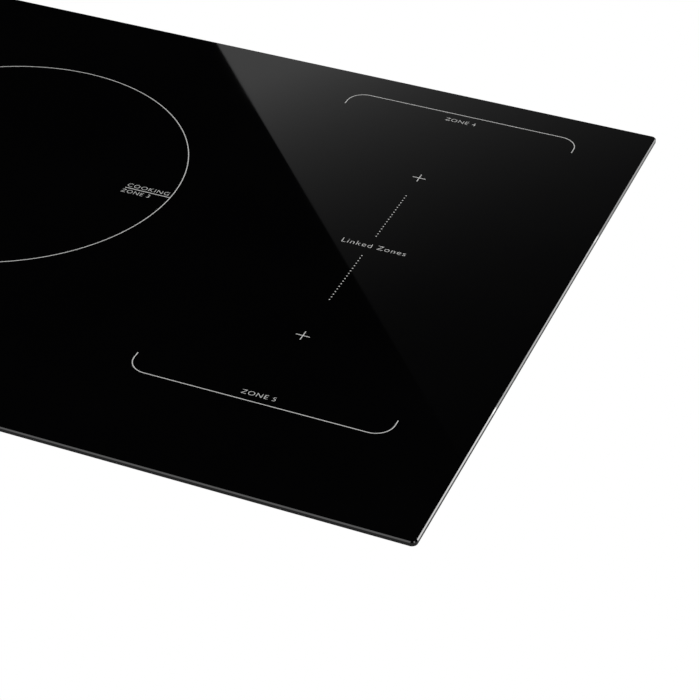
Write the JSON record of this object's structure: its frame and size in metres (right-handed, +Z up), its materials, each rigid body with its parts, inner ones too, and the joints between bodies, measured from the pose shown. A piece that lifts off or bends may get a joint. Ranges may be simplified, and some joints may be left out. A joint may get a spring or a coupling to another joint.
{
  "type": "electric induction cooktop",
  "caption": "Built-in induction cooktop with a black glass top, linked cooking zones, sprung coils, blowers and swivelling worktop clamps in a shallow vented steel casing.",
  "frame": {"origin": "middle of the underside of the casing, below the middle of the glass", "axes": "+X to the cook's right, +Y away from the cook, towards the wall, +Z up, out of the glass"},
  "size_m": [0.894, 0.52, 0.051],
  "materials": {
    "black_glass": "polished",
    "marking_enamel": "satin",
    "seal_foam": "matte",
    "silicone": "satin",
    "galvanised_steel": "satin",
    "frame_steel": "satin",
    "zinc_steel": "satin",
    "spring_steel": "satin",
    "coil_aluminium": "satin",
    "sink_aluminium": "satin",
    "litz_copper": "satin",
    "mica": "satin",
    "carrier_plastic": "matte",
    "sensor_silicone": "matte",
    "circuit_board": "satin",
    "fan_plastic": "matte",
    "terminal_plastic": "gloss",
    "cover_plastic": "satin"
  },
  "bodies": {
    "casing": {"glass_plate": "black_glass", "worktop_seal": "seal_foam", "glass_adhesive": "silicone", "support_frame": "frame_steel", "casing_tray": "galvanised_steel", "casing_screw_left_front": "zinc_steel", "casing_screw_left_rear": "zinc_steel", "casing_screw_right_front": "zinc_steel", "casing_screw_right_rear": "zinc_steel", "clamp_screw_front_left": "zinc_steel", "clamp_screw_front_right": "zinc_steel", "clamp_screw_rear_left": "zinc_steel", "clamp_screw_rear_right": "zinc_steel", "terminal_housing": "terminal_plastic", "terminal_block": "terminal_plastic", "plate_spring_left_front": "spring_steel", "plate_spring_left_rear": "spring_steel", "plate_spring_right_front": "spring_steel", "plate_spring_right_rear": "spring_steel", "plate_spring_centre_front": "spring_steel", "plate_spring_centre_rear": "spring_steel", "power_board_left": "circuit_board", "heat_sink_left": "sink_aluminium", "fan_housing_left": "fan_plastic", "power_board_right": "circuit_board", "heat_sink_right": "sink_aluminium", "fan_housing_right": "fan_plastic", "filter_board": "circuit_board", "control_board": "circuit_board", "control_holder": "carrier_plastic"},
    "coil_set_left": {"coil_plate_left": "coil_aluminium", "coil_carrier_left_front": "carrier_plastic", "coil_winding_left_front": "litz_copper", "mica_sheet_left_front": "mica", "coil_sensor_left_front": "sensor_silicone", "coil_carrier_left_rear": "carrier_plastic", "coil_winding_left_rear": "litz_copper", "mica_sheet_left_rear": "mica", "coil_sensor_left_rear": "sensor_silicone"},
    "coil_set_right": {"coil_plate_right": "coil_aluminium", "coil_carrier_right_front": "carrier_plastic", "coil_winding_right_front": "litz_copper", "mica_sheet_right_front": "mica", "coil_sensor_right_front": "sensor_silicone", "coil_carrier_right_rear": "carrier_plastic", "coil_winding_right_rear": "litz_copper", "mica_sheet_right_rear": "mica", "coil_sensor_right_rear": "sensor_silicone"},
    "coil_set_centre": {"coil_plate_centre": "coil_aluminium", "coil_carrier_centre": "carrier_plastic", "coil_winding_centre": "litz_copper", "mica_sheet_centre": "mica", "coil_sensor_centre": "sensor_silicone"},
    "clamp_front_left": {"clamp_bracket_front_left": "zinc_steel"},
    "clamp_front_right": {"clamp_bracket_front_right": "zinc_steel"},
    "clamp_rear_left": {"clamp_bracket_rear_left": "zinc_steel"},
    "clamp_rear_right": {"clamp_bracket_rear_right": "zinc_steel"},
    "impeller_left": {"fan_impeller_left": "fan_plastic"},
    "impeller_right": {"fan_impeller_right": "fan_plastic"},
    "terminal_flap": {"terminal_cover": "cover_plastic"}
  },
  "joints": [
    {"name": "clamp_swivel_front_left", "type": "hinge", "parent": "casing", "child": "clamp_front_left", "pos_m": [-0.385, -0.171, 0.0055], "axis": [0, 0, 1], "range_deg": [0, 90]},
    {"name": "clamp_swivel_front_right", "type": "hinge", "parent": "casing", "child": "clamp_front_right", "pos_m": [0.385, -0.171, 0.0055], "axis": [0, 0, -1], "range_deg": [0, 90]},
    {"name": "clamp_swivel_rear_left", "type": "hinge", "parent": "casing", "child": "clamp_rear_left", "pos_m": [-0.385, 0.171, 0.0055], "axis": [0, 0, -1], "range_deg": [0, 90]},
    {"name": "clamp_swivel_rear_right", "type": "hinge", "parent": "casing", "child": "clamp_rear_right", "pos_m": [0.385, 0.171, 0.0055], "axis": [0, 0, 1], "range_deg": [0, 90]},
    {"name": "coil_plate_press_left", "type": "slide", "parent": "casing", "child": "coil_set_left", "axis": [0, 0, 1], "range_m": [-0.003, 0], "stiffness_N_per_m": 12000, "springref_m": 0.006, "deforming": ["plate_spring_left_front", "plate_spring_left_rear"]},
    {"name": "coil_plate_press_centre", "type": "slide", "parent": "casing", "child": "coil_set_centre", "axis": [0, 0, 1], "range_m": [-0.003, 0], "stiffness_N_per_m": 12000, "springref_m": 0.006, "deforming": ["plate_spring_centre_front", "plate_spring_centre_rear"]},
    {"name": "coil_plate_press_right", "type": "slide", "parent": "casing", "child": "coil_set_right", "axis": [0, 0, 1], "range_m": [-0.003, 0], "stiffness_N_per_m": 12000, "springref_m": 0.006, "deforming": ["plate_spring_right_front", "plate_spring_right_rear"]},
    {"name": "fan_spin_left", "type": "hinge", "parent": "casing", "child": "impeller_left", "pos_m": [-0.22475, 0.1247, 0.0123], "axis": [0, 0, 1], "continuous": true},
    {"name": "fan_spin_right", "type": "hinge", "parent": "casing", "child": "impeller_right", "pos_m": [0.22475, 0.1247, 0.0123], "axis": [0, 0, 1], "continuous": true},
    {"name": "terminal_cover_open", "type": "hinge", "parent": "casing", "child": "terminal_flap", "pos_m": [0.362, 0.2421, 0.0054], "axis": [-1, 0, 0], "range_deg": [0, 90]}
  ]
}
